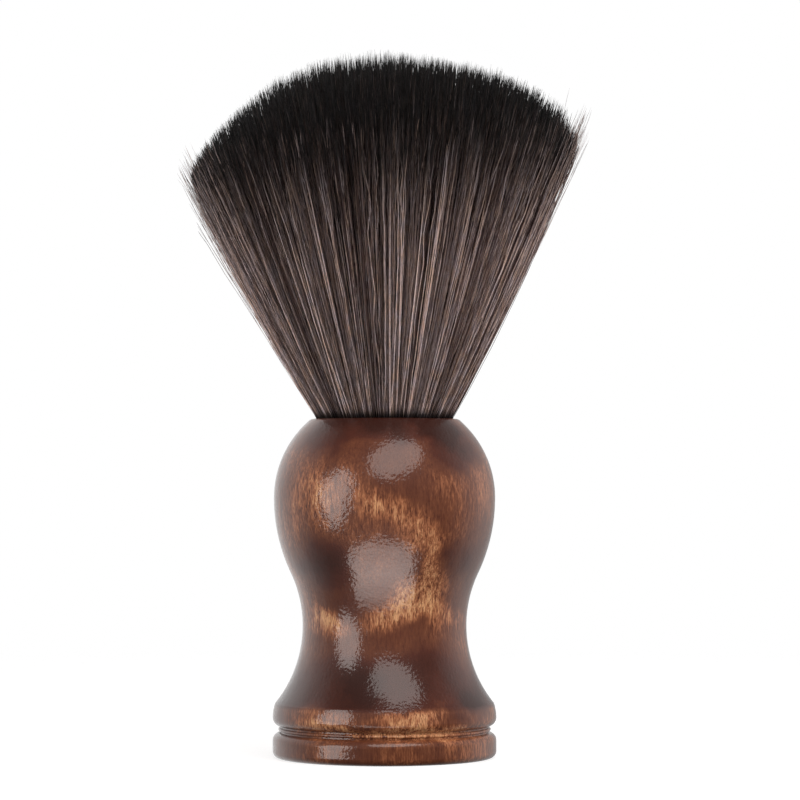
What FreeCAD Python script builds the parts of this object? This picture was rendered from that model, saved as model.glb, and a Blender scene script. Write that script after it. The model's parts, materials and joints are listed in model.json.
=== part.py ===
"""Fade brush: a round fan of soft fibres set in the socket of a turned wooden handle.

Millimetres, +Z up. The origin is the centre of the foot's underside, and the brush's axis is Z.
"""
import FreeCAD, Part
import math
import os

V = FreeCAD.Vector
UP = V(0, 0, 1)
ORIGIN = V(0, 0, 0)

# Driving dimensions
TOTAL_HEIGHT = 136.0
HANDLE_HEIGHT = 65.6
FOOT_RADIUS = 21.7
WAIST_RADIUS = 15.9
WAIST_HEIGHT = 25.5          # height of the narrowest place
WAIST_ARC = 23.7             # radius of the hollow curve
BULB_RADIUS = 21.5
BULB_HEIGHT = 50.3           # height of the widest place
BULB_TOP_ARC = 19.9          # radius of the bulb's upper curve
SOCKET_RADIUS = 13.6
SOCKET_DEPTH = 20.0
FLARE_RADIUS = 12.95         # radius of the free fibres at the mouth
FLARE_SLOPE = 0.512          # how fast that radius grows with height
DOME_WIDTH_RADIUS = 38.0     # the tips lie on half an ellipsoid of this radius
DOME_HEIGHT = 27.4           # and this height

# Foot, groove and bead
FOOT_EDGE = 1.3              # rounding of the foot's lower edge
FOOT_TOP = 4.9
GROOVE_RADIUS = 20.15
GROOVE_RIB = 0.3             # half the height of the fine rib in the groove
GROOVE_RIB_HEIGHT = 5.5
GROOVE_RIB_OUT = 0.45
BEAD_BOTTOM = 6.1
BEAD_CREST = 7.8
BEAD_TOP = 10.5
BEAD_SWELL = 0.1             # how far the bead's side stands out from a straight line

# Mouth of the handle
MOUTH_EDGE = 0.5             # height of the rounding where the bulb meets the flat mouth
MOUTH_SWELL = 0.12           # how far that rounding stands out from a straight line
MOUTH_BEVEL = 0.15           # of the socket's rim

# Knot in the socket
GAP = 0.02                   # between round pieces that are glued in place
GLUE_WALL = 0.25
GLUE_FLOOR = 1.0
GLUE_BELOW_MOUTH = 3.0
CUP_WALL = 0.6
CUP_FLOOR = 1.0
CUP_BELOW_MOUTH = 0.3
RESIN_DEPTH = 9.0
ROOT_FLOOR = 1.0             # resin under the fibres' ends
ROOT_WAIST = 11.6            # the bundle's radius where it is tied
ROOT_FLARE = 1.5             # height in which it spreads from there to the cup's wall
BINDING_TURNS = 5
BINDING_THREAD = 0.7         # thread diameter
BINDING_START = 2.0          # first turn above the fibres' ends

# Bends of the free fibres: forwards and back low down, sideways higher up
LEAN_LIMIT = 20.0            # degrees
LEAN_ROOM = 1.0              # degrees that stay free at that limit
LEAN_SLOPE = math.tan(math.radians(LEAN_LIMIT + LEAN_ROOM))
LOW_BEND = 71.5
HIGH_BEND = 88.0
BEND_GAP = 0.3
LOCKS = 12
LOCK_GAP_ANGLE = 0.8         # degrees
CORE_SHARE = 0.45            # the core's share of the head's radius
CORE_GAP = 0.2


def flare_radius(z):
    """Radius of the fan's side at height z."""
    return FLARE_RADIUS + FLARE_SLOPE * (z - HANDLE_HEIGHT)


def at(r, z):
    """Point of a profile: r from the axis, z up."""
    return V(r, 0, z)


def line(a, b):
    return Part.LineSegment(a, b).toShape()


def arc(a, middle, b):
    return Part.Arc(a, middle, b).toShape()


def arc_about(centre, radius, a, b):
    """The shorter arc of a circle in the profile's plane from a to b."""
    half_way = (a + b) * 0.5 - centre
    half_way.normalize()
    return arc(a, centre + half_way * radius, b)


def turned(edges, angle=360.0):
    """Solid made by turning a closed profile about Z."""
    face = Part.Face(Part.Wire(edges))
    return face.revolve(ORIGIN, UP, angle)


def turned_outline(points, angle=360.0):
    closed = points + points[:1]
    return turned([line(a, b) for a, b in zip(closed, closed[1:])], angle)


def save(name, shape):
    assert shape.isValid() and shape.Volume > 0, name
    shape.exportStep("parts/%s.step" % name)
    print("%-18s %9.1f mm3" % (name, shape.Volume))


# Handle

def foot_edges():
    """Underside, foot, groove with its rib, and bead, up to the start of the waist."""
    flat = at(FOOT_RADIUS - FOOT_EDGE, 0)
    side = at(FOOT_RADIUS, FOOT_EDGE)
    shoulder = FOOT_RADIUS - GROOVE_RADIUS
    side_top = at(FOOT_RADIUS, FOOT_TOP - shoulder)
    groove_low = at(GROOVE_RADIUS, FOOT_TOP)
    rib_low = at(GROOVE_RADIUS, GROOVE_RIB_HEIGHT - GROOVE_RIB)
    rib = at(GROOVE_RADIUS + GROOVE_RIB_OUT, GROOVE_RIB_HEIGHT)
    rib_high = at(GROOVE_RADIUS, GROOVE_RIB_HEIGHT + GROOVE_RIB)
    bead_low = at(GROOVE_RADIUS, BEAD_BOTTOM)
    bead_crest = at(FOOT_RADIUS, BEAD_CREST)
    bead_arc = (shoulder ** 2 + (BEAD_CREST - BEAD_BOTTOM) ** 2) / (2 * shoulder)
    bead_top = waist_start()
    bead_side = (bead_crest + bead_top) * 0.5 + V(BEAD_SWELL, 0, 0)
    return [
        line(ORIGIN, flat),
        arc_about(at(flat.x, FOOT_EDGE), FOOT_EDGE, flat, side),
        line(side, side_top),
        arc_about(at(GROOVE_RADIUS, side_top.z), shoulder, side_top, groove_low),
        line(groove_low, rib_low),
        arc(rib_low, rib, rib_high),
        line(rib_high, bead_low),
        arc_about(at(FOOT_RADIUS - bead_arc, BEAD_CREST), bead_arc, bead_low, bead_crest),
        arc(bead_crest, bead_side, bead_top),
    ]


def waist_centre():
    return at(WAIST_RADIUS + WAIST_ARC, WAIST_HEIGHT)


def waist_start():
    """Where the waist's hollow curve meets the bead."""
    c = waist_centre()
    return at(c.x - math.sqrt(WAIST_ARC ** 2 - (c.z - BEAD_TOP) ** 2), BEAD_TOP)


def body_edges():
    """Waist, bulb and the rounded edge of the mouth, as arcs that run into each other."""
    hollow = waist_centre()
    out = hollow.x - BULB_RADIUS
    rise = BULB_HEIGHT - WAIST_HEIGHT
    low_arc = (out ** 2 + rise ** 2 - WAIST_ARC ** 2) / (2 * (WAIST_ARC - out))
    low_centre = at(BULB_RADIUS - low_arc, BULB_HEIGHT)
    joint = low_centre + (hollow - low_centre) * (low_arc / (low_arc + WAIST_ARC))
    widest = at(BULB_RADIUS, BULB_HEIGHT)
    top_centre = at(BULB_RADIUS - BULB_TOP_ARC, BULB_HEIGHT)
    edge_z = HANDLE_HEIGHT - MOUTH_EDGE
    edge = at(top_centre.x + math.sqrt(BULB_TOP_ARC ** 2 - (edge_z - BULB_HEIGHT) ** 2), edge_z)
    flat = at(SOCKET_RADIUS + MOUTH_BEVEL, HANDLE_HEIGHT)
    rounding = (edge + flat) * 0.5 + V(MOUTH_SWELL, 0, MOUTH_SWELL)
    return [
        arc(waist_start(), at(WAIST_RADIUS, WAIST_HEIGHT), joint),
        arc_about(low_centre, low_arc, joint, widest),
        arc_about(top_centre, BULB_TOP_ARC, widest, edge),
        arc(edge, rounding, flat),
    ]


def handle():
    mouth = at(SOCKET_RADIUS + MOUTH_BEVEL, HANDLE_HEIGHT)
    lip = at(SOCKET_RADIUS, HANDLE_HEIGHT - MOUTH_BEVEL)
    floor = HANDLE_HEIGHT - SOCKET_DEPTH
    socket = [
        line(mouth, lip),
        line(lip, at(SOCKET_RADIUS, floor)),
        line(at(SOCKET_RADIUS, floor), at(0, floor)),
        line(at(0, floor), at(0, 0)),
    ]
    return turned(foot_edges() + body_edges() + socket)


# Knot in the socket

GLUE_OUT = SOCKET_RADIUS - GAP
GLUE_IN = GLUE_OUT - GLUE_WALL
CUP_OUT = GLUE_IN - GAP
CUP_IN = CUP_OUT - CUP_WALL
FILL_RADIUS = CUP_IN - GAP
SOCKET_FLOOR = HANDLE_HEIGHT - SOCKET_DEPTH
CUP_BOTTOM = SOCKET_FLOOR + GLUE_FLOOR
CUP_TOP = HANDLE_HEIGHT - CUP_BELOW_MOUTH
RESIN_BOTTOM = CUP_BOTTOM + CUP_FLOOR
RESIN_TOP = RESIN_BOTTOM + RESIN_DEPTH
ROOT_BOTTOM = RESIN_BOTTOM + ROOT_FLOOR


def socket_glue():
    """Film between cup and socket, over a thicker pad on the socket's floor."""
    top = HANDLE_HEIGHT - GLUE_BELOW_MOUTH
    return turned_outline([
        at(0, SOCKET_FLOOR), at(GLUE_OUT, SOCKET_FLOOR), at(GLUE_OUT, top),
        at(GLUE_IN, top), at(GLUE_IN, CUP_BOTTOM), at(0, CUP_BOTTOM),
    ])


def knot_cup():
    cup = Part.makeCylinder(CUP_OUT, CUP_TOP - CUP_BOTTOM, V(0, 0, CUP_BOTTOM))
    hollow = Part.makeCylinder(CUP_IN, CUP_TOP - RESIN_BOTTOM, V(0, 0, RESIN_BOTTOM))
    return cup.cut(hollow)


def fibre_roots():
    """The fixed ends: drawn in where they are tied, spreading to fill the cup above the resin."""
    return turned_outline([
        at(0, ROOT_BOTTOM), at(ROOT_WAIST, ROOT_BOTTOM), at(ROOT_WAIST, RESIN_TOP),
        at(FILL_RADIUS, RESIN_TOP + ROOT_FLARE), at(FILL_RADIUS, CUP_TOP), at(0, CUP_TOP),
    ])


def root_binding():
    """Turns of thread side by side, pulled tight enough to touch each other."""
    radius = BINDING_THREAD / 2
    ring_radius = ROOT_WAIST + GAP + radius
    turns = []
    for turn in range(BINDING_TURNS):
        z = ROOT_BOTTOM + BINDING_START + turn * (BINDING_THREAD + GAP)
        turns.append(Part.makeTorus(ring_radius, radius, V(0, 0, z)))
    return Part.makeCompound(turns)


def root_resin():
    """Resin under and round the tied ends, cast round the thread."""
    plug = Part.makeCylinder(FILL_RADIUS, RESIN_DEPTH, V(0, 0, RESIN_BOTTOM))
    roots = Part.makeCylinder(ROOT_WAIST + GAP, RESIN_DEPTH, V(0, 0, ROOT_BOTTOM))
    first = ROOT_BOTTOM + BINDING_START - BINDING_THREAD / 2 - GAP
    height = BINDING_TURNS * (BINDING_THREAD + GAP) + GAP
    thread = Part.makeCylinder(ROOT_WAIST + BINDING_THREAD + 3 * GAP, height, V(0, 0, first))
    return plug.cut(roots).cut(thread)


# Free fibres

def underside_radius(bend, share=1.0, offset=0.0):
    """Radius where a cone-shaped underside, with its point at the height of the bend,
    meets the fan scaled by share and moved out by offset."""
    base = share * flare_radius(bend) + offset
    return base / (1 - share * FLARE_SLOPE * LEAN_SLOPE)


def underside(bend, r):
    """Point of that underside at radius r. The cone gives a piece room to lean."""
    return at(r, bend + LEAN_SLOPE * r)


def bristle_base():
    """Lowest stretch, which stays upright when the fibres above it lean."""
    top = LOW_BEND - BEND_GAP
    return turned_outline([
        at(0, CUP_TOP), at(flare_radius(CUP_TOP), CUP_TOP), at(flare_radius(top), top), at(0, top),
    ])


def bristle_neck():
    top = HIGH_BEND - BEND_GAP
    return turned_outline([
        at(0, LOW_BEND), underside(LOW_BEND, underside_radius(LOW_BEND)),
        at(flare_radius(top), top), at(0, top),
    ])


DOME_BASE = TOTAL_HEIGHT - DOME_HEIGHT


def dome_crossing(share, offset=0.0):
    """Where the fan scaled by share and moved out by offset meets the ellipsoid of the tips."""
    slope = share * FLARE_SLOPE
    base = share * flare_radius(DOME_BASE) + offset
    a = (slope / DOME_WIDTH_RADIUS) ** 2 + 1 / DOME_HEIGHT ** 2
    b = 2 * slope * base / DOME_WIDTH_RADIUS ** 2
    c = (base / DOME_WIDTH_RADIUS) ** 2 - 1
    rise = (-b + math.sqrt(b * b - 4 * a * c)) / (2 * a)
    return at(base + slope * rise, DOME_BASE + rise)


def dome_edge(a, b):
    """Arc through the ellipsoid's profile at a, at b and half-way between their radii."""
    r = (a.x + b.x) / 2
    return arc(a, at(r, DOME_BASE + DOME_HEIGHT * math.sqrt(1 - (r / DOME_WIDTH_RADIUS) ** 2)), b)


def bristle_core():
    side_low = underside(HIGH_BEND, underside_radius(HIGH_BEND, CORE_SHARE))
    side_high = dome_crossing(CORE_SHARE)
    apex = at(0, TOTAL_HEIGHT)
    base = at(0, HIGH_BEND)
    fall = TOTAL_HEIGHT - side_high.z
    radius = (side_high.x ** 2 + fall ** 2) / (2 * fall)
    crown = arc_about(at(0, TOTAL_HEIGHT - radius), radius, side_high, apex)
    return turned([line(base, side_low), line(side_low, side_high), crown, line(apex, base)])


def bristle_lock(number):
    """One of the locks round the core, standing on the same cone-shaped underside."""
    step = 360.0 / LOCKS
    inner_low = underside(HIGH_BEND, underside_radius(HIGH_BEND, CORE_SHARE, CORE_GAP))
    outer_low = underside(HIGH_BEND, underside_radius(HIGH_BEND))
    outer_high = dome_crossing(1.0)
    inner_high = dome_crossing(CORE_SHARE, CORE_GAP)
    lock = turned([line(inner_low, outer_low), line(outer_low, outer_high),
                   dome_edge(outer_high, inner_high), line(inner_high, inner_low)],
                  step - LOCK_GAP_ANGLE)
    lock.rotate(ORIGIN, UP, number * step + LOCK_GAP_ANGLE / 2)
    return lock


os.makedirs("parts", exist_ok=True)
save("handle", handle())
save("socket_glue", socket_glue())
save("knot_cup", knot_cup())
save("root_resin", root_resin())
save("root_binding", root_binding())
save("fibre_roots", fibre_roots())
save("bristle_base", bristle_base())
save("bristle_neck", bristle_neck())
save("bristle_core", bristle_core())
for number in range(LOCKS):
    save("bristle_lock_%02d" % (number + 1), bristle_lock(number))
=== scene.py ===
"""Fade brush: its looks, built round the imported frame. Metres, +Z up, and the viewer on the -Y side."""
import json
import math

import bpy
import numpy as np
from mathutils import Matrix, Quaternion, Vector

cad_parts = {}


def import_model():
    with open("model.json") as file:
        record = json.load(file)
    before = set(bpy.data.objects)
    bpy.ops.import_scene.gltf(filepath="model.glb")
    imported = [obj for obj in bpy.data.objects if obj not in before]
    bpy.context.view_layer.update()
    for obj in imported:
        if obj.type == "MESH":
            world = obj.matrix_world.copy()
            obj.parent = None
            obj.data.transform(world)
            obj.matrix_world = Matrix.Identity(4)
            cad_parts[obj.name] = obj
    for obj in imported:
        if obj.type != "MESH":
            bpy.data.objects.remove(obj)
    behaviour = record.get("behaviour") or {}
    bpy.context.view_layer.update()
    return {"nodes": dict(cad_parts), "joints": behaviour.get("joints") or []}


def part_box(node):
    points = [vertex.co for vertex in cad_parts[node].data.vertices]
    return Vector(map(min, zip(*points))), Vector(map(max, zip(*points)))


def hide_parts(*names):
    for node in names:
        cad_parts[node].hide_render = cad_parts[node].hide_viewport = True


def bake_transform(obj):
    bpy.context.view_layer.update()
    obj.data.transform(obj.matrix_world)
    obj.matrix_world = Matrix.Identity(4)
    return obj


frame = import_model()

MM = 0.001
SEED = 7

# Heights that come from the frame
MOUTH_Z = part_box("handle")[1].z
TOP_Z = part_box("bristle_core")[1].z
LOW_PIVOT, HIGH_PIVOT = (joint["pos_m"][2] for joint in frame["joints"])
CUT_Z = (LOW_PIVOT + HIGH_PIVOT) / 2         # the fibres are divided here, between the two bends
BEND_TOP_Z = HIGH_PIVOT + 11.5 * MM          # above this they follow the head

# The fan of fibres
FIBRES = 16000
FAN_RADIUS = 13.1 * MM                       # at the mouth
FLARE = 0.560                                # growth of the radius with height at the mouth
FLARE_LOSS = 1.25                            # and how fast that growth slackens, per metre
LEAN = -0.028                                # the whole fan leans a little to the left
DOME_BASE = 108.6 * MM                       # the tips lie on a dome, a little squarer than half an ellipsoid
DOME_RADIUS = 39.2 * MM
DOME_HEIGHT = TOP_Z - DOME_BASE + 0.5 * MM
DOME_POWER = 2.1
DOME_SHIFT = 3.1 * MM                        # half-way up, it is cut fuller on the right
ROOT_DEPTH = 2.6 * MM                        # how far the free fibres are drawn into the cup
OUTER_SHARE = 0.88                           # fibres beyond this share of the radius are the outer ones
LOW_PARTS = 6
LOCKS = 12
CORE_SHARE = 0.46                            # core's share of the fan's radius
LOW_STEPS = (0.0, 0.18, 0.38, 0.58, 0.79, 1.0)             # rings of a fibre, from mouth to cut
BEND_STEPS = (0.0, 0.2, 0.45, 0.72, 1.0)                   # from cut to the top of the bend
CORE_STEPS = (0.25, 0.50, 0.75, 0.93, 1.0)                 # and from there to the tip
LOCK_STEPS = (0.12, 0.24, 0.36, 0.48, 0.60, 0.72, 0.84, 0.94, 1.0)

# One fibre
FIBRE_RADIUS = 0.078 * MM
SIDES = 3
TONE_STRIP = 0.004                           # half the width of a fibre's strip on the map
MAP_TOP = 0.99                               # the map's highest place, just below its edge
GOLDEN_ANGLE = math.pi * (3 - math.sqrt(5))

# Groups that the fibres gather in, strands and then broader tufts: how many, the least and the most that they
# pull a fibre in, and how much one group differs from another in tone, and in tip height in mm
GROUPS = [
    (900, 0.20, 0.75, 0.06, 0.40),
    (110, 0.02, 0.10, 0.05, 0.08),
]

# Loose outer fibres at the left, at the right and all round: how many, their direction and its spread in
# degrees, how far out a tip usually strays in mm, the power of the height with which it does, and how much
# longer and shorter than the dome they can be, in mm
WISPS = [
    (240, 180.0, 16.0, 1.3, 1.6, 3.5, 7.0),
    (70, 0.0, 13.0, 0.9, 3.0, 6.0, -0.5),
    (90, 90.0, 120.0, 0.6, 2.5, 3.0, 4.0),
]


# Materials

class NodeTree:
    """The nodes of a material or of the world, made and joined in short calls."""

    def __init__(self, owner):
        owner.use_nodes = True
        self.nodes = owner.node_tree.nodes
        self.links = owner.node_tree.links

    def put(self, socket, value):
        """Joins value to the socket if it is another socket, and sets it otherwise."""
        if isinstance(value, bpy.types.NodeSocket):
            self.links.new(value, socket)
        else:
            socket.default_value = value

    def add(self, kind, inputs=(), **settings):
        node = self.nodes.new("ShaderNode" + kind)
        for key, value in settings.items():
            setattr(node, key, value)
        for key, value in dict(inputs).items():
            self.put(node.inputs[key], value)
        return node

    def calculate(self, operation, a, b=0.0, clamp=False):
        return self.add("Math", {0: a, 1: b}, operation=operation, use_clamp=clamp).outputs[0]

    def linear(self, value, scale, offset):
        return self.add("Math", {0: value, 1: scale, 2: offset}, operation="MULTIPLY_ADD").outputs[0]

    def stretch(self, value, low, high, new_low, new_high, **settings):
        """Value with low to high stretched to new_low to new_high, and cut off outside them."""
        return self.add("MapRange", {"Value": value, "From Min": low, "From Max": high, "To Min": new_low,
                                     "To Max": new_high}, **settings).outputs[0]

    def ramp(self, factor, stops):
        node = self.add("ValToRGB", {"Fac": factor})
        elements = node.color_ramp.elements
        elements[0].position, elements[0].color = stops[0][0], (*stops[0][1], 1)
        elements[1].position, elements[1].color = stops[-1][0], (*stops[-1][1], 1)
        for position, colour in stops[1:-1]:
            elements.new(position).color = (*colour, 1)
        return node.outputs["Color"]


class Shader(NodeTree):
    """A material."""

    def __init__(self, name):
        self.material = bpy.data.materials.new(name)
        super().__init__(self.material)
        self.surface = self.nodes["Principled BSDF"]

    def mix(self, factor, a, b, blend="MIX"):
        node = self.add("Mix", data_type="RGBA", blend_type=blend)
        self.put(node.inputs["Factor"], factor)
        self.put(node.inputs[6], a)
        self.put(node.inputs[7], b)
        return node.outputs[2]

    def place(self):
        """Position in the frame, in metres."""
        return self.add("TexCoord").outputs["Object"]

    def scaled(self, vector, scale):
        return self.add("Mapping", {"Vector": vector, "Scale": scale}).outputs[0]

    def noise(self, vector, scale=1.0, detail=2.0, roughness=0.5, distortion=0.0):
        node = self.add("TexNoise", {"Vector": vector, "Scale": scale, "Detail": detail,
                                     "Roughness": roughness, "Distortion": distortion})
        return node.outputs["Fac"]

    def bump(self, height, strength, distance):
        return self.add("Bump", {"Height": height, "Strength": strength, "Distance": distance}).outputs[0]

    def finish(self, **inputs):
        for key, value in inputs.items():
            self.put(self.surface.inputs[key.replace("_", " ")], value)
        return self.material


# Places where the colour is lighter (above 0) or darker: x and z of the middle, half-width and half-height,
# in millimetres, then how far it falls to the right in degrees, and its strength. Most are the stain; the
# rest are painted shade on the shoulders and the right side, and painted light in the groove. They are on the
# front of the handle, and again on its back.
STAIN_AND_SHADING = [
    (-1.0, 50.5, 8.0, 5.0, 15, 0.32),      # pale streak that crosses the bulb and falls to the right
    (6.0, 44.5, 10.0, 5.4, 48, 0.38),
    (9.0, 37.0, 3.8, 6.5, 0, 0.36),
    (15.5, 49.5, 6.5, 5.0, -40, -0.02),
    (3.6, 30.8, 12.0, 4.8, -18, 0.54),     # pale band across the waist, which rises to the right
    (12.4, 28.6, 8.5, 4.4, 42, 0.52),      # and falls again
    (-11.5, 26.0, 8.5, 4.6, 0, 0.84),
    (-15.0, 51.5, 6.5, 6.5, 0, 0.24),
    (-8.0, 56.5, 6.0, 7.0, 0, 0.10),
    # Painted shade, down to the mouth's right-hand edge: the shoulders under the fibres are darkened
    (-14.0, 62.0, 8.0, 6.0, 0, -0.40),
    (0.0, 65.0, 22.0, 5.5, 0, -0.52),      # painted shade on the shoulder under the mouth, under the fibres
    (14.0, 61.0, 9.0, 8.0, 0, -0.34),
    (12.0, 64.5, 7.0, 5.0, 0, -0.80),
    # painted shade down the right side, where the lamps leave it darker
    (20.0, 60.0, 8.0, 8.0, 0, -0.90),
    (20.0, 14.0, 8.0, 7.0, 0, -0.90),
    (-13.0, 38.5, 9.5, 8.5, 0, -0.42),
    # painted shade on the right side
    (16.0, 37.0, 5.5, 8.0, 0, -0.26),
    (3.0, 23.5, 8.0, 3.0, 0, -0.02),
    (-2.0, 17.0, 14.0, 7.0, 0, -0.24),
    (11.0, 17.5, 13.0, 8.0, 0, -0.20),
    (0.0, 5.6, 30.0, 1.8, 0, 0.46),        # groove painted lighter: painted light, for light bounced up from the floor
    (-12.0, 8.2, 11.0, 2.8, 0, 0.14),      # bead and foot
    (4.0, 8.4, 13.0, 3.0, 0, 0.32),
    # painted shade on the right of the bead
    (15.0, 7.6, 6.0, 2.4, 0, -0.24),
    (-14.0, 2.6, 9.0, 3.0, 0, 0.06),
    (4.0, 1.8, 14.0, 2.4, 0, -0.04),
]
PATCH_Y = -18.0 * MM                         # middle of a patch, near the wood's surface
PATCH_DEPTH = 16.0 * MM

# All round, just above the bead, the colour is darker: the height where that ends, how dark it is at shares
# of that height, and how much that takes off
HOLLOW_TOP_Z = 21.0 * MM
HOLLOW = [(0.0, 0.0), (0.47, 0.0), (0.52, 1.0), (0.66, 0.8), (1.0, 0.0)]
HOLLOW_STRENGTH = -0.30


def srgb(*values):
    """Scene colour of a 0 to 255 display colour."""
    return tuple((v / 255 / 12.92) if v < 11 else ((v / 255 + 0.055) / 1.055) ** 2.4 for v in values)


def grey(value):
    return (value, value, value)


def stain_and_shading_of(s, place):
    """How light the wood is: uneven stain, with soft patches of stain, painted shade and painted light, and
    the dark hollow.
    """
    warp = s.add("TexNoise", {"Vector": place, "Scale": 85.0, "Detail": 3.0})
    offset = s.add("VectorMath", {0: warp.outputs["Color"], 1: grey(0.5)}, operation="SUBTRACT")
    offset = s.add("VectorMath", {0: offset.outputs[0], "Scale": 11 * MM}, operation="SCALE")
    bent = s.add("VectorMath", {0: place, 1: offset.outputs[0]}, operation="ADD").outputs[0]
    stain_and_shading = s.linear(s.noise(bent, 45.0, 2.0, 0.5), 0.7, 0.07)
    axes = s.add("SeparateXYZ", {0: bent}).outputs
    front = s.calculate("MULTIPLY", s.calculate("ABSOLUTE", axes["Y"]), -1.0)
    both_sides = s.add("CombineXYZ", {0: axes["X"], 1: front, 2: axes["Z"]}).outputs[0]
    for x, z, wide, high, tilt, strength in STAIN_AND_SHADING:
        patch = s.add("Mapping", {"Vector": both_sides, "Location": (x * MM, PATCH_Y, z * MM),
                                  "Rotation": (0, math.radians(tilt), 0),
                                  "Scale": (wide * MM, PATCH_DEPTH, high * MM)}, vector_type="TEXTURE")
        near = s.add("TexGradient", {"Vector": patch.outputs[0]}, gradient_type="SPHERICAL")
        soft = s.stretch(near.outputs["Fac"], 0.0, 1.0, 0.0, 1.0, interpolation_type="SMOOTHSTEP")
        stain_and_shading = s.calculate("ADD", stain_and_shading, s.linear(soft, strength, 0.0))
    level = s.calculate("DIVIDE", s.add("SeparateXYZ", {0: place}).outputs["Z"], HOLLOW_TOP_Z)
    hollow = s.ramp(level, [(at, grey(dark)) for at, dark in HOLLOW])
    return s.calculate("ADD", stain_and_shading, s.linear(hollow, HOLLOW_STRENGTH, 0.0))


def lacquer_film(s, place, grain):
    """Normals of the clear film, which has orange peel, slow waves and a trace of the grain."""
    peel = s.noise(place, 1700.0, 1.0, 0.5)
    waves = s.noise(place, 260.0, 1.0, 0.5)
    height = s.calculate("ADD", s.linear(peel, 1.3, 0.0), s.linear(waves, 2.5, 0.0))
    height = s.calculate("ADD", height, s.linear(grain, 0.30, 0.0))
    return s.bump(height, 1.0, 0.040 * MM)


def lacquered_wood():
    """Pale close-grained wood under a patchy dark stain and clear gloss lacquer, with painted shade and light
    in its colour.
    """
    s = Shader("lacquered_wood")
    place = s.place()
    stain_and_shading = stain_and_shading_of(s, place)
    grain = s.noise(s.scaled(place, (2700, 2700, 520)), 1.0, 2.0, 0.70, 0.3)
    broad = s.noise(s.scaled(place, (700, 700, 70)), 1.0, 2.0, 0.5)
    open_grain = s.stretch(stain_and_shading, 0.32, 0.74, 0.20, 2.0)
    streaks = s.calculate("ADD", s.linear(grain, 0.85, -0.425), s.linear(broad, 0.35, -0.175))
    tone = s.calculate("ADD", stain_and_shading, s.calculate("MULTIPLY", streaks, open_grain), clamp=True)
    colour = s.ramp(tone, [(0.0, srgb(54, 22, 13)), (0.25, srgb(82, 40, 28)), (0.45, srgb(118, 68, 44)),
                           (0.65, srgb(174, 110, 73)), (1.0, srgb(234, 178, 128))])
    ticks = s.noise(s.scaled(place, (5600, 5600, 1100)), 1.0, 1.0, 0.5)
    pores = s.ramp(ticks, [(0.58, grey(1)), (0.68, (0.42, 0.36, 0.32))])
    pore_share = s.calculate("MULTIPLY", open_grain, 0.75, clamp=True)
    colour = s.mix(pore_share, colour, s.mix(1.0, colour, pores, "MULTIPLY"))
    return s.finish(Base_Color=colour, Roughness=0.5, Specular_IOR_Level=0.25,
                    Normal=s.bump(grain, 0.4, 0.04 * MM), Coat_Weight=1.0, Coat_Roughness=0.115, Coat_IOR=1.5,
                    Coat_Normal=lacquer_film(s, place, grain))


# Colours of the palest fibre, whose paleness is partly painted highlight, of the darkest, and of every tip,
# which the painted shade at the root uses too
PALE = (1.0, 0.82, 0.83)
DEEP = (0.078, 0.045, 0.046)
BLACK = (0.0092, 0.0096, 0.0108)
# Along a fibre, from mouth to tip: how much of its own colour the palest one keeps there, and the darkest.
# The first rows darken the fibres just above the mouth: painted shade.
SHADE = [
    (0.0, 0.0, 0.08), (0.012, 0.15, 0.25), (0.024, 0.60, 0.65), (0.04, 1.0, 1.0), (0.50, 1.0, 1.0),
    (0.64, 0.80, 0.85), (0.76, 0.53, 0.64), (0.86, 0.29, 0.43), (0.92, 0.10, 0.22), (0.96, 0.02, 0.05),
    (0.99, 0.0, 0.0),
]


def towards_black(colour, part):
    """The colour if this part of it is left and the rest is black."""
    return tuple(c * part + b * (1 - part) for c, b in zip(colour, BLACK))


def fibre_material():
    """Nylon fibre, brown-grey low down and black at the tip; just above the mouth it is darkened as painted
    shade.

    On the fibres' map, across is the fibre's tone, from dark to light, and up is the way from mouth to tip.
    """
    s = Shader("fibre")
    way = s.add("SeparateXYZ", {0: s.add("UVMap", uv_map="OFBake").outputs[0]})
    tone, along = way.outputs[0], way.outputs[1]
    glint = s.noise(s.scaled(s.place(), (2500, 2500, 420)), 1.0, 2.0, 0.6)
    tone = s.calculate("MULTIPLY", tone, s.linear(glint, 2.4, -0.05), clamp=True)
    light = s.ramp(along, [(at, towards_black(PALE, part)) for at, part, _ in SHADE])
    dark = s.ramp(along, [(at, towards_black(DEEP, part)) for at, _, part in SHADE])
    strand = s.noise(s.scaled(s.place(), (900, 900, 60)), 1.0, 1.0, 0.5)
    tint = s.ramp(strand, [(0.36, (1.0, 0.90, 0.74)), (0.64, (0.94, 0.98, 1.0))])
    colour = s.mix(1.0, s.mix(tone, dark, light), tint, "MULTIPLY")
    return s.finish(Base_Color=colour, Roughness=0.42, Specular_IOR_Level=0.30)


# Hidden pieces: material, colour, roughness, how fine its mottle is, how far that varies the colour, and its
# depth in mm
HIDDEN = {
    "knot_cup": ("black_plastic", (0.012, 0.012, 0.014), 0.4, 900, 0.3, 0.02),
    "root_resin": ("resin", (0.30, 0.21, 0.08), 0.2, 500, 0.25, 0.02),
    "root_binding": ("thread", (0.45, 0.42, 0.36), 0.8, 5000, 0.35, 0.05),
    "socket_glue": ("glue", (0.50, 0.47, 0.38), 0.5, 700, 0.2, 0.04),
}


def plain_material(name, colour, roughness, scale, variation, depth):
    """A material for the hidden pieces, with a fine mottle in its colour and its surface."""
    s = Shader(name)
    mottle = s.noise(s.place(), scale, 4.0, 0.6)
    tinted = s.mix(mottle, tuple(c * (1 - variation) for c in colour) + (1,),
                   tuple(min(1, c * (1 + variation)) for c in colour) + (1,))
    rough = s.linear(mottle, 0.2, roughness - 0.1)
    return s.finish(Base_Color=tinted, Roughness=rough, Normal=s.bump(mottle, 0.4, depth * MM))


def dress(obj, material):
    obj.data.materials.clear()
    obj.data.materials.append(material)


# Fibres

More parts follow.
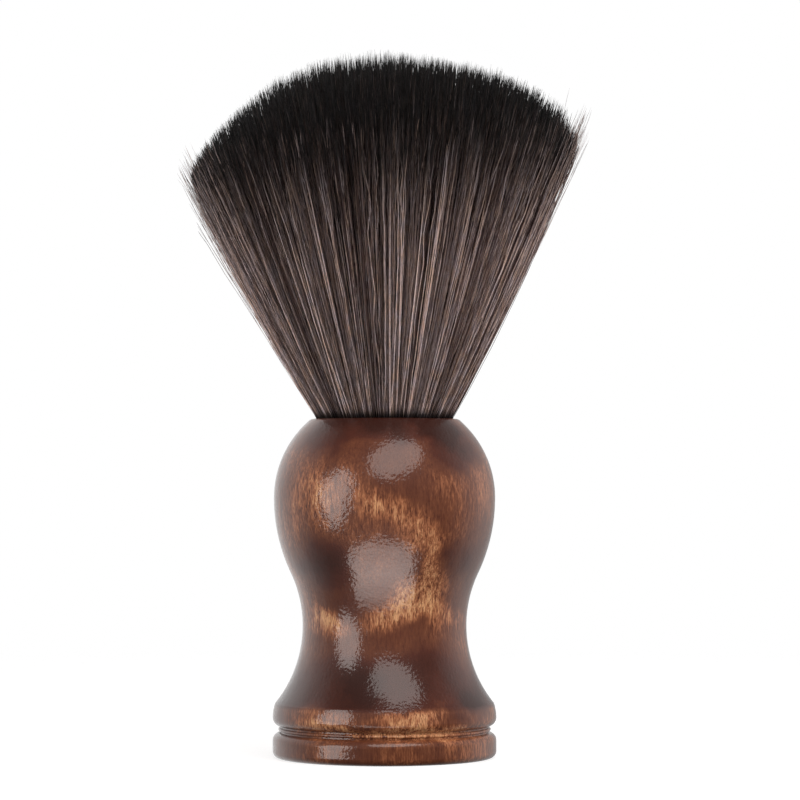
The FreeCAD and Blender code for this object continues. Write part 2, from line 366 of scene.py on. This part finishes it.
def even_disc(count, jitter, rng):
    """Points spread evenly over the unit disc, each moved a little."""
    number = np.arange(count) + 0.5
    share = np.sqrt(number / count)
    turn = number * GOLDEN_ANGLE
    points = np.stack([share * np.cos(turn), share * np.sin(turn)], axis=1)
    return points + rng.normal(0, jitter, points.shape)


def unit(vectors):
    return vectors / np.linalg.norm(vectors, axis=-1, keepdims=True)


class Fan:
    """Every fibre's place, tone, thickness and tip, as one array each."""

    def __init__(self, rng):
        body = even_disc(FIBRES, 0.007, rng)
        wisps, wisp_reach, wisp_power, wisp_short = self.wisps(rng)
        self.root = np.vstack([body, wisps])
        self.reach = np.concatenate([np.zeros(len(body)), wisp_reach])
        self.power = np.concatenate([np.ones(len(body)), wisp_power])
        count = len(self.root)
        self.wisp = self.reach > 0
        self.turn = np.arctan2(self.root[:, 1], self.root[:, 0]) / (2 * math.pi) % 1
        bias = self.gather(rng, count)
        self.tone = self.tones(rng, count, bias)
        self.radius = FIBRE_RADIUS * rng.uniform(0.70, 1.15, count) * (1 + 0.30 * (self.tone > 0.6))
        self.radius[self.wisp] *= 0.5
        self.sway = rng.normal(0, 0.45 * MM, (count, 2))
        self.sway[rng.random(count) < 0.12] *= 2.5
        self.bow = rng.normal(0, 0.40 * MM, (count, 2))
        self.wave = rng.normal(0, 0.16 * MM, (count, 2))
        self.wave_count = rng.uniform(3.0, 7.0, count)
        self.wave_start = rng.uniform(0, 1, count)
        self.spin = rng.uniform(0, 2 * math.pi, count)
        self.fade = self.fades(rng, count)
        self.tip = self.tips(rng, count, wisp_short)

    def wisps(self, rng):
        """Loose outer fibres: the root, the reach at the tip, its power and the missing length of each."""
        turns, reach, power, short = [], [], [], []
        for number, middle, spread, usual_reach, late, longest, shortest in WISPS:
            turns.append(rng.normal(math.radians(middle), math.radians(spread), number))
            reach.append(np.minimum(rng.gamma(2.2, usual_reach / 2.2, number), 2.4 * usual_reach) * MM)
            power.append(np.full(number, late))
            short.append(rng.uniform(-longest, shortest, number) * MM)
        turns = np.concatenate(turns)
        share = rng.uniform(0.93, 1.0, len(turns))
        root = np.stack([share * np.cos(turns), share * np.sin(turns)], axis=1)
        return root, np.concatenate(reach), np.concatenate(power), np.concatenate(short)

    def gather(self, rng, count):
        """Pulls fibres towards the middle of their strand and tuft. Gives each the tone of its groups."""
        self.pull = np.zeros((count, 2))
        self.cut = np.zeros(count)
        bias = np.zeros(count)
        for number, low, high, tone_spread, ragged in GROUPS:
            middles = even_disc(number, 0.35 / math.sqrt(number), rng)
            distance = ((self.root[:, None, :] - middles[None, :, :]) ** 2).sum(axis=2)
            nearest = distance.argmin(axis=1)
            strength = rng.uniform(low, high, number)[nearest]
            self.pull += (middles[nearest] - self.root) * strength[:, None]
            bias += rng.normal(0, tone_spread, number)[nearest]
            self.cut += rng.normal(0, ragged * MM, number)[nearest]
        self.pull[self.wisp] = 0
        return bias

    def tones(self, rng, count, bias):
        """0 is the darkest fibre and 1 the palest. About one in four is much paler: partly its own tone and
        partly painted highlight on strands that catch the light. More are pale at the right: painted light
        from the right.
        """
        tone = 0.11 + bias + rng.normal(0, 0.07, count)
        tone[rng.random(count) < 0.225 + 0.05 * self.root[:, 0]] += 0.78
        tone[self.wisp] = rng.uniform(0.30, 0.97, self.wisp.sum())
        return np.clip(tone, 0.02, 0.97)

    def fades(self, rng, count):
        """How far up the map each tip is. Below 1, the fibre is not yet black at its tip."""
        outer = np.hypot(*self.root.T) > OUTER_SHARE
        fade = np.clip(rng.normal(1.02, 0.035, count), 0.96, 1.14) - 0.03 * outer
        late = outer & (rng.random(count) < 0.18 - 0.14 * self.root[:, 0])
        fade[late] = rng.uniform(0.86, 0.98, count)[late]
        fade[self.wisp] = rng.uniform(0.60, 0.95, self.wisp.sum())
        return fade

    def line(self, z, who, tip):
        """Centres of the chosen fibres, each at its height z, if their tips are at height tip."""
        rise = z - MOUTH_Z
        t = np.clip(rise / (tip - MOUTH_Z), 0, 1)
        share = self.root[who] + self.pull[who] * np.sin(0.8 * math.pi * t)[:, None]
        xy = share * (FAN_RADIUS + FLARE * rise - FLARE_LOSS * rise * np.abs(rise))[:, None]
        xy += unit(self.root[who]) * (self.reach[who] * t ** self.power[who])[:, None]
        xy += self.sway[who] * t[:, None]
        xy += self.bow[who] * (4 * t * (1 - t))[:, None]
        turns = self.wave_count[who] * t + self.wave_start[who]
        xy += self.wave[who] * (np.sin(2 * math.pi * turns) * np.sqrt(t))[:, None]
        xy[:, 0] += LEAN * rise
        return np.column_stack([xy, z])

    def rings(self, z, who, share):
        """Corners of the ring round each chosen fibre at its height z, square to the fibre."""
        step = 0.2 * MM
        centre = self.line(z, who, self.tip[who])
        along = unit(self.line(z + step, who, self.tip[who]) - self.line(z - step, who, self.tip[who]))
        across = unit(np.cross(along, (0, 1, 0)))
        other = np.cross(along, across)
        angle = self.spin[who][:, None] + np.arange(SIDES) * 2 * math.pi / SIDES
        outward = np.cos(angle)[..., None] * across[:, None] + np.sin(angle)[..., None] * other[:, None]
        return centre[:, None] + outward * (self.radius[who] * share)[:, None, None]

    def tips(self, rng, count, wisp_short):
        """Height where each fibre meets the dome, found by halving, less what it is short by."""
        low = np.full(count, DOME_BASE)
        high = np.full(count, DOME_BASE + DOME_HEIGHT)
        for _ in range(22):
            z = (low + high) / 2
            x, y, _ = self.line(z, slice(None), z).T
            level = (z - DOME_BASE) / DOME_HEIGHT
            out = np.hypot(x - DOME_SHIFT * np.sin(math.pi * level ** 1.8), y) / DOME_RADIUS
            outside = out ** DOME_POWER + level ** DOME_POWER > 1
            high = np.where(outside, z, high)
            low = np.where(outside, low, z)
        short = np.abs(rng.normal(0, 0.8 * MM, count)) + self.cut
        stubby = rng.random(count) < 0.08
        short[stubby] += rng.exponential(2.2 * MM, count)[stubby]
        short[self.wisp] = wisp_short
        return low - short


def tube_mesh(name, points):
    """A mesh of closed tubes round rings of points. Also which point each face's corners are at."""
    count, rings = points.shape[:2]
    side = np.arange(SIDES)
    following = (side + 1) % SIDES
    first = (np.arange(count) * rings * SIDES)[:, None, None]
    level = (np.arange(rings - 1) * SIDES)[:, None]
    a, b = first + level + side, first + level + following
    quads = np.stack([a, b, b + SIDES, a + SIDES], axis=3).reshape(-1, 4)
    first = first[:, 0]
    caps = np.concatenate([first + side[::-1], first + (rings - 1) * SIDES + side])

    mesh = bpy.data.meshes.new(name)
    mesh.vertices.add(count * rings * SIDES)
    mesh.vertices.foreach_set("co", points.astype(np.float32).ravel())
    mesh.loops.add(quads.size + caps.size)
    mesh.loops.foreach_set("vertex_index", np.concatenate([quads.ravel(), caps.ravel()]).astype(np.int32))
    mesh.polygons.add(len(quads) + len(caps))
    starts = np.concatenate([np.arange(len(quads)) * 4, quads.size + np.arange(len(caps)) * SIDES])
    mesh.polygons.foreach_set("loop_start", starts.astype(np.int32))
    mesh.update(calc_edges=True)
    mesh.polygons.foreach_set("use_smooth", np.arange(len(starts)) < len(quads))
    ends = np.zeros(2 * len(mesh.edges), np.int32)
    mesh.edges.foreach_get("vertices", ends)
    ring_of = ends.reshape(-1, 2) // SIDES % rings
    rim = (ring_of[:, 0] == ring_of[:, 1]) & np.isin(ring_of[:, 0], (0, rings - 1))
    mesh.edges.foreach_set("use_edge_sharp", rim)
    return mesh, quads, caps


def tubes(name, fan, who, heights, taper):
    """One piece of closed three-sided tubes along the fibres numbered in who.

    heights holds each fibre's height at each ring, and taper the share of its radius there.
    """
    rings = heights.shape[1]
    points = np.stack([fan.rings(heights[:, k], who, taper[k]) for k in range(rings)], axis=1)
    mesh, quads, caps = tube_mesh(name, points)

    # Across the map is the fibre's tone, with a narrow strip for each fibre. Up the map is from mouth to tip.
    along = np.clip((heights - MOUTH_Z) / (fan.tip[who] - MOUTH_Z)[:, None], 0, 1) * fan.fade[who][:, None]
    along = np.repeat(np.clip(along, 0, MAP_TOP)[:, :, None], SIDES, axis=2)
    tone = fan.tone[who][:, None, None] + (np.arange(SIDES) - 1) * TONE_STRIP + np.zeros((rings, 1))
    flat_map = np.stack([tone, along], axis=3).reshape(-1, 2)
    cap_map = flat_map[caps]
    cap_map[:, 0, 1] += TONE_STRIP
    corners = np.concatenate([flat_map[quads].reshape(-1, 2), cap_map.reshape(-1, 2)])
    mesh.uv_layers.new(name="OFBake").data.foreach_set("uv", corners.astype(np.float32).ravel())
    mesh.validate()
    obj = bpy.data.objects.new(name, mesh)
    bpy.context.scene.collection.objects.link(obj)
    return obj


def lower_fibres(fan, material):
    """The stretch from inside the cup to the cut, in sixths. It bends between handle and neck."""
    rings = np.concatenate([[MOUTH_Z - ROOT_DEPTH], MOUTH_Z + (CUT_Z - MOUTH_Z) * np.array(LOW_STEPS)])
    for number in range(LOW_PARTS):
        who = np.flatnonzero((fan.turn * LOW_PARTS).astype(int) == number)
        heights = np.tile(rings, (len(who), 1))
        obj = tubes("fibres_low_%d" % (number + 1), fan, who, heights, np.ones(len(rings)))
        dress(obj, material)
        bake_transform(obj)
        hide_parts("bristle_neck", "bristle_base", "fibre_roots")


def upper_fibres(fan, material):
    """The stretch from the cut to the tips, core and locks. It bends between neck and head."""
    bend = CUT_Z + (BEND_TOP_Z - CUT_Z) * np.array(BEND_STEPS)
    in_core = np.hypot(*fan.root.T) < CORE_SHARE
    lock = np.where(in_core, 0, 1 + (fan.turn * LOCKS).astype(int))
    nodes = ["bristle_core"] + ["bristle_lock_%02d" % (n + 1) for n in range(LOCKS)]
    for number, node in enumerate(nodes):
        who = np.flatnonzero(lock == number)
        steps = np.array(LOCK_STEPS if number else CORE_STEPS)
        free = BEND_TOP_Z + (fan.tip[who] - BEND_TOP_Z)[:, None] * steps
        heights = np.hstack([np.tile(bend, (len(who), 1)), free])
        taper = np.concatenate([np.ones(len(bend)), 1 - 0.30 * steps ** 3 - 0.60 * steps ** 24])
        obj = tubes(node.replace("bristle", "fibres"), fan, who, heights, taper)
        dress(obj, material)
        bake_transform(obj)
        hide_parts(node)


# The rest of the picture

AIM_Z = 45 * MM                              # the softboxes face this height on the brush's axis
WARM = (1.0, 0.93, 0.90)                     # colour of their light


def oval_light(name, wide, high, radiance):
    """An oval light that the camera doesn't see."""
    light = bpy.data.lights.new(name, "AREA")
    light.shape = "ELLIPSE"
    light.size, light.size_y = wide, high
    light.energy = radiance * math.pi * wide * high * math.pi / 4
    light.color = WARM
    obj = bpy.data.objects.new(name, light)
    obj.visible_camera = False
    bpy.context.scene.collection.objects.link(obj)
    return obj


def softbox(name, azimuth, elevation, wide, high, radiance, tilt=0):
    """An oval light a metre from the brush, in that direction. Azimuth 0 is towards the viewer.

    A tilt raises its right-hand end, as the viewer sees it.
    """
    obj = oval_light(name, wide, high, radiance)
    a, e = math.radians(azimuth), math.radians(elevation)
    obj.location = (math.sin(a) * math.cos(e), -math.cos(a) * math.cos(e), AIM_Z + math.sin(e))
    facing = (Vector((0, 0, AIM_Z)) - obj.location).to_track_quat("-Z", "Y")
    obj.rotation_euler = (facing @ Quaternion((0, 0, 1), math.radians(tilt))).to_euler()
    return obj


def front_card():
    """A small bright card in front of the foot, facing up, which shows only in gloss that looks down."""
    obj = oval_light("front_card", 84 * MM, 70 * MM, 3.5)
    obj.data.spread = math.radians(145)
    obj.location = (-3 * MM, -66 * MM, 1 * MM)
    obj.rotation_euler = (math.pi, 0, 0)
    obj.visible_diffuse = False


def world():
    """White for the camera. Its light comes from behind and the sides, weaker upward and to the right."""
    studio = bpy.data.worlds.new("studio")
    bpy.context.scene.world = studio
    w = NodeTree(studio)
    way = w.add("SeparateXYZ", {0: w.add("TexCoord").outputs["Generated"]}).outputs
    above = w.calculate("MAXIMUM", way["Z"], 0.0)
    sideways = w.calculate("ABSOLUTE", way["X"])
    behind = w.linear(above, -0.7, way["Y"])
    behind = w.linear(sideways, 0.45, behind)
    behind = w.linear(w.calculate("MULTIPLY", sideways, above), 1.1, behind)
    strength = w.stretch(behind, 0.05, 1.0, 0.06, 0.9, interpolation_type="SMOOTHSTEP")
    from_left = w.linear(way["X"], 0.5, 0.5)
    side = w.ramp(from_left, [(0.42, grey(1.0)), (0.60, grey(0.50)), (0.78, grey(0.50)), (0.93, grey(0.85)),
                              (1.0, grey(1.0))])
    strength = w.calculate("MULTIPLY", strength, side)
    background = w.nodes["Background"]
    w.put(background.inputs["Color"], (1, 1, 1, 1))
    w.put(background.inputs["Strength"],
          w.calculate("MAXIMUM", strength, w.add("LightPath").outputs["Is Camera Ray"]))


def floor():
    """A round white floor whose edge fades into the white round it."""
    radius = 0.42
    fade_start = 0.12
    bpy.ops.mesh.primitive_circle_add(vertices=96, radius=radius, fill_type="NGON")
    disc = bpy.context.object
    disc.name = "floor"
    s = Shader("pale_floor")
    place = s.place()
    away = s.add("VectorMath", {0: place}, operation="LENGTH").outputs["Value"]
    fade = s.stretch(away, fade_start, radius * 0.97, 0.0, 1.0, interpolation_type="SMOOTHSTEP")
    tint = s.mix(s.noise(place, 220.0, 2.0), (*grey(0.46), 1), (*grey(0.49), 1))
    s.finish(Base_Color=tint, Roughness=0.7, Specular_IOR_Level=0.2, Emission_Color=(1, 1, 1, 1),
             Emission_Strength=0.76)
    clear = s.add("BsdfTransparent")
    blend = s.add("MixShader", {0: fade, 1: s.surface.outputs[0], 2: clear.outputs[0]})
    s.links.new(blend.outputs[0], s.nodes["Material Output"].inputs["Surface"])
    dress(disc, s.material)
    disc.visible_glossy = False
    disc.visible_diffuse = False


def camera():
    """Level with the bulb of the handle and pitched up a little. The brush is just left of the middle."""
    distance = 620 * MM
    height = 53 * MM
    to_the_right = 3.0 * MM
    frame_middle = 69.3 * MM
    frame_width = 155.6 * MM
    sensor_width = 36
    view = bpy.data.cameras.new("camera")
    view.sensor_width = sensor_width
    view.lens = sensor_width * distance / frame_width
    view.clip_start, view.clip_end = 0.05, 20
    obj = bpy.data.objects.new("camera", view)
    obj.location = (to_the_right, -distance, height)
    obj.rotation_euler = (math.pi / 2 + math.atan2(frame_middle - height, distance), 0, 0)
    bpy.context.scene.collection.objects.link(obj)
    bpy.context.scene.camera = obj


def main():
    nodes = frame["nodes"]
    dress(nodes["handle"], lacquered_wood())
    for node, settings in HIDDEN.items():
        dress(nodes[node], plain_material(*settings))
    fan = Fan(np.random.default_rng(SEED))
    fibre = fibre_material()
    lower_fibres(fan, fibre)
    upper_fibres(fan, fibre)
    world()
    floor()
    softbox("softbox_top", 14, 45, 1.06, 0.70, 2.65, tilt=35)
    softbox("softbox_left", -52, 6, 0.62, 0.84, 3.6, tilt=-20)
    softbox("fill_right", 62, 20, 1.30, 1.10, 2.0).visible_glossy = False
    front_card()
    camera()
    bpy.context.scene.view_settings.view_transform = "Standard"


main()
